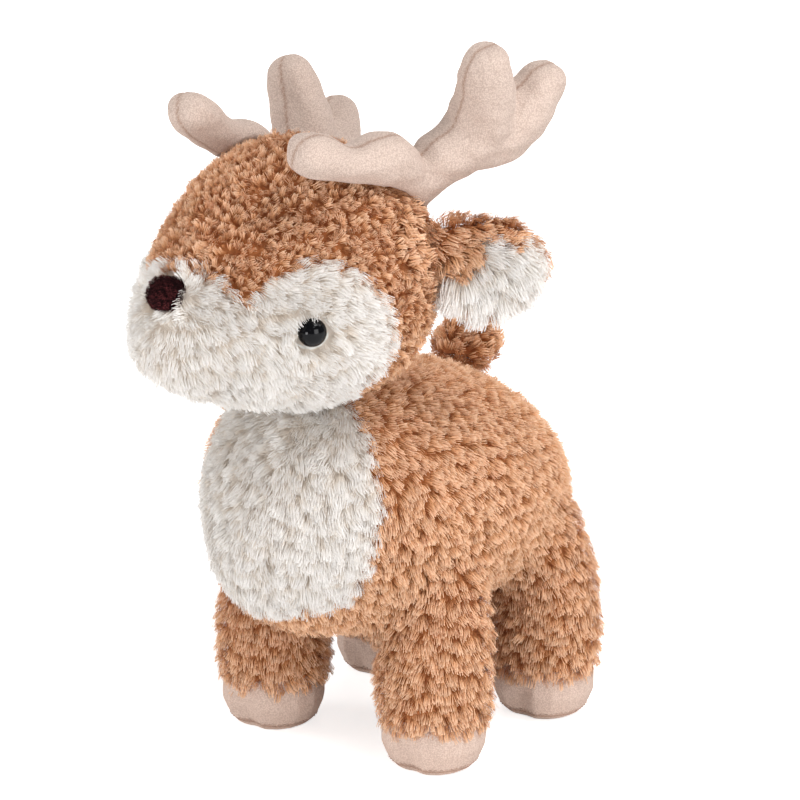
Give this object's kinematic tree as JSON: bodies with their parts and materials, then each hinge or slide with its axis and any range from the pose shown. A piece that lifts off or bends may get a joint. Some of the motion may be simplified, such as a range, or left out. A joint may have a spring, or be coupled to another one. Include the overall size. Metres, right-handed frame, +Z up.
{
  "type": "plush deer",
  "caption": "Standing stuffed deer with a round head, white face and chest, leaf-shaped ears, branched suedette antlers, short tail and capped hooves.",
  "frame": {"origin": "on the floor, below the middle of the bounding box", "axes": "+Z up, the deer looks along -Y, its left side is +X"},
  "size_m": [0.1796, 0.2448, 0.3184],
  "materials": {
    "tan_plush": "long soft pile, matt",
    "white_plush": "long soft pile, matt",
    "suedette": "fine knitted suedette, matt",
    "hoof_suedette": "fine knitted suedette, matt",
    "velour": "short velour pile, matt",
    "eye_plastic": "polished, glossy black",
    "washer_plastic": "moulded, matt",
    "filling": "loose polyester fibre, matt"
  },
  "bodies": {
    "body": {"leg_front_left_cover": "tan_plush", "hoof_front_left_cover": "hoof_suedette", "hoof_front_left_sole": "hoof_suedette", "leg_front_left_filling": "filling", "leg_hind_left_cover": "tan_plush", "hoof_hind_left_cover": "hoof_suedette", "hoof_hind_left_sole": "hoof_suedette", "leg_hind_left_filling": "filling", "leg_front_right_cover": "tan_plush", "hoof_front_right_cover": "hoof_suedette", "hoof_front_right_sole": "hoof_suedette", "leg_front_right_filling": "filling", "leg_hind_right_cover": "tan_plush", "hoof_hind_right_cover": "hoof_suedette", "hoof_hind_right_sole": "hoof_suedette", "leg_hind_right_filling": "filling", "trunk_cover": "tan_plush", "chest_panel": "white_plush", "trunk_filling": "filling", "eye_left": "eye_plastic", "eye_washer_left": "washer_plastic", "eye_right": "eye_plastic", "eye_washer_right": "washer_plastic", "head_cover": "tan_plush", "face_panel": "white_plush", "head_filling": "filling", "nose": "velour"},
    "left_ear": {"ear_left_back": "tan_plush", "ear_left_lining": "white_plush"},
    "right_ear": {"ear_right_back": "tan_plush", "ear_right_lining": "white_plush"},
    "left_antler": {"antler_left_cover": "suedette", "antler_left_filling": "filling"},
    "right_antler": {"antler_right_cover": "suedette", "antler_right_filling": "filling"},
    "tail": {"tail_cover": "tan_plush", "tail_filling": "filling"}
  },
  "joints": [
    {"name": "left_ear_seam", "type": "hinge", "parent": "body", "child": "left_ear", "pos_m": [0.05008, -0.01961, 0.23902], "axis": [-0.4252, 0.033, -0.9045], "range_deg": [-25, 25], "stiffness_Nm_per_rad": 0.05},
    {"name": "right_ear_seam", "type": "hinge", "parent": "body", "child": "right_ear", "pos_m": [-0.05543, -0.00852, 0.23902], "axis": [-0.4227, 0.0561, 0.9045], "range_deg": [-25, 25], "stiffness_Nm_per_rad": 0.05},
    {"name": "left_antler_seam", "type": "hinge", "parent": "body", "child": "left_antler", "pos_m": [0.03352, -0.01102, 0.25634], "axis": [-0.2079, -0.9781, 0], "range_deg": [-8, 8], "stiffness_Nm_per_rad": 0.3},
    {"name": "right_antler_seam", "type": "hinge", "parent": "body", "child": "right_antler", "pos_m": [-0.03985, -0.00733, 0.24334], "axis": [0.088, -0.9475, 0.3073], "range_deg": [-8, 8], "stiffness_Nm_per_rad": 0.3},
    {"name": "tail_seam", "type": "hinge", "parent": "body", "child": "tail", "pos_m": [-0.00542, 0.07536, 0.15472], "axis": [1, 0, 0], "range_deg": [-25, 25], "stiffness_Nm_per_rad": 0.05}
  ]
}
